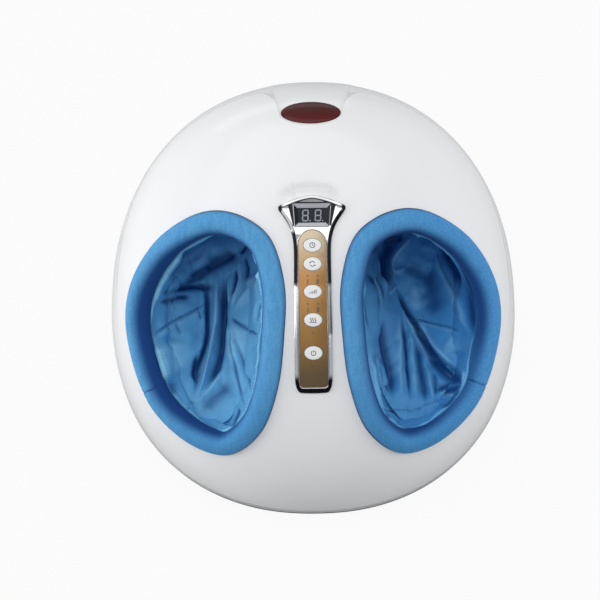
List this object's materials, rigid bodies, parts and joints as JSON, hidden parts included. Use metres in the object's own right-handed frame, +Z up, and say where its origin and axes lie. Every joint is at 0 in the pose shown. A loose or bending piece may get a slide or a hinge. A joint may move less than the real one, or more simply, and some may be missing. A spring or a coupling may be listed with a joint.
{
  "type": "foot massager",
  "caption": "Domed shiatsu foot massager with padded foot wells, cloth liners, a chrome and gold control strip with oval buttons, and worm-driven kneading heads.",
  "frame": {"origin": "on the floor, under the middle of the bounding box", "axes": "+Z up; +Y from the heels to the toes, out of the rear wall with the power inlet; +X to the right of a seated user"},
  "size_m": [0.41, 0.42, 0.2348],
  "materials": {
    "white_gloss": "glossy",
    "dark_plastic": "matte",
    "grey_plastic": "matte",
    "black_plastic": "matte",
    "black_rubber": "matte",
    "blue_pad": "woven, padded",
    "blue_satin": "satin",
    "chrome": "polished",
    "gold_plate": "anodised gold",
    "smoked_window": "smoked clear",
    "white_button": "satin",
    "red_lens": "dark red clear",
    "green_board": "solder mask",
    "steel": "plain",
    "cream_nylon": "moulded",
    "heat_film": "film",
    "airbag_vinyl": "matte",
    "hose_vinyl": "clear vinyl"
  },
  "bodies": {
    "base": {"upper_shell": "white_gloss", "lower_shell": "dark_plastic", "rubber_foot_1": "black_rubber", "rubber_foot_2": "black_rubber", "rubber_foot_3": "black_rubber", "rubber_foot_4": "black_rubber", "base_screw_1": "steel", "base_screw_2": "steel", "base_screw_3": "steel", "base_screw_4": "steel", "base_screw_5": "steel", "base_screw_6": "steel", "left_rim_pad": "blue_pad", "left_liner_frame": "grey_plastic", "left_foot_liner": "blue_satin", "left_airbag": "airbag_vinyl", "left_air_hose": "hose_vinyl", "left_footbed": "grey_plastic", "left_heat_pad": "heat_film", "left_gearbox_cover": "grey_plastic", "left_gearbox_tray": "grey_plastic", "left_kneading_motor": "steel", "right_rim_pad": "blue_pad", "right_liner_frame": "grey_plastic", "right_foot_liner": "blue_satin", "right_airbag": "airbag_vinyl", "right_air_hose": "hose_vinyl", "right_footbed": "grey_plastic", "right_heat_pad": "heat_film", "right_gearbox_cover": "grey_plastic", "right_gearbox_tray": "grey_plastic", "right_kneading_motor": "steel", "panel_bezel": "chrome", "panel_plate": "gold_plate", "display_window": "smoked_window", "display_module": "black_plastic", "control_board": "green_board", "indicator_lens": "red_lens", "receiver_board": "green_board", "air_pump": "steel", "air_valve": "black_plastic", "main_board": "green_board", "power_inlet": "black_plastic"},
    "timer_button_body": {"timer_button": "white_button"},
    "mode_button_body": {"mode_button": "white_button"},
    "intensity_button_body": {"intensity_button": "white_button"},
    "heat_button_body": {"heat_button": "white_button"},
    "power_button_body": {"power_button": "white_button"},
    "left_front_kneader": {"left_front_kneading_head": "dark_plastic", "left_front_worm_wheel": "cream_nylon"},
    "left_rear_kneader": {"left_rear_kneading_head": "dark_plastic", "left_rear_worm_wheel": "cream_nylon"},
    "left_worm": {"left_worm_shaft": "steel"},
    "right_front_kneader": {"right_front_kneading_head": "dark_plastic", "right_front_worm_wheel": "cream_nylon"},
    "right_rear_kneader": {"right_rear_kneading_head": "dark_plastic", "right_rear_worm_wheel": "cream_nylon"},
    "right_worm": {"right_worm_shaft": "steel"}
  },
  "joints": [
    {"name": "timer_button_press", "type": "slide", "parent": "base", "child": "timer_button_body", "axis": [0, 0.2903, -0.9569], "range_m": [0, 0.001], "stiffness_N_per_m": 600, "springref_m": -0.0006},
    {"name": "mode_button_press", "type": "slide", "parent": "base", "child": "mode_button_body", "axis": [0, 0.3069, -0.9517], "range_m": [0, 0.001], "stiffness_N_per_m": 600, "springref_m": -0.0006},
    {"name": "intensity_button_press", "type": "slide", "parent": "base", "child": "intensity_button_body", "axis": [0, 0.3466, -0.938], "range_m": [0, 0.001], "stiffness_N_per_m": 600, "springref_m": -0.0006},
    {"name": "heat_button_press", "type": "slide", "parent": "base", "child": "heat_button_body", "axis": [0, 0.3981, -0.9174], "range_m": [0, 0.001], "stiffness_N_per_m": 600, "springref_m": -0.0006},
    {"name": "power_button_press", "type": "slide", "parent": "base", "child": "power_button_body", "axis": [0, 0.4672, -0.8842], "range_m": [0, 0.001], "stiffness_N_per_m": 600, "springref_m": -0.0006},
    {"name": "left_rear_kneader_spin", "type": "hinge", "parent": "base", "child": "left_rear_kneader", "pos_m": [-0.099, 0.02053, 0.0376], "axis": [0, -0.1045, 0.9945], "continuous": true},
    {"name": "left_front_kneader_spin", "type": "hinge", "parent": "base", "child": "left_front_kneader", "pos_m": [-0.099, -0.03635, 0.03162], "axis": [0, -0.1045, 0.9945], "continuous": true},
    {"name": "left_worm_spin", "type": "hinge", "parent": "base", "child": "left_worm", "pos_m": [-0.099, -0.00791, 0.03461], "axis": [1, 0, 0], "continuous": true},
    {"name": "right_rear_kneader_spin", "type": "hinge", "parent": "base", "child": "right_rear_kneader", "pos_m": [0.099, 0.02053, 0.0376], "axis": [0, -0.1045, 0.9945], "continuous": true},
    {"name": "right_front_kneader_spin", "type": "hinge", "parent": "base", "child": "right_front_kneader", "pos_m": [0.099, -0.03635, 0.03162], "axis": [0, -0.1045, 0.9945], "continuous": true},
    {"name": "right_worm_spin", "type": "hinge", "parent": "base", "child": "right_worm", "pos_m": [0.099, -0.00791, 0.03461], "axis": [1, 0, 0], "continuous": true}
  ],
  "couplings": [
    {"joint": "left_front_kneader_spin", "follows": "left_rear_kneader_spin", "ratio": -1},
    {"joint": "left_worm_spin", "follows": "left_rear_kneader_spin", "ratio": -16},
    {"joint": "right_front_kneader_spin", "follows": "right_rear_kneader_spin", "ratio": -1},
    {"joint": "right_worm_spin", "follows": "right_rear_kneader_spin", "ratio": 16}
  ]
}
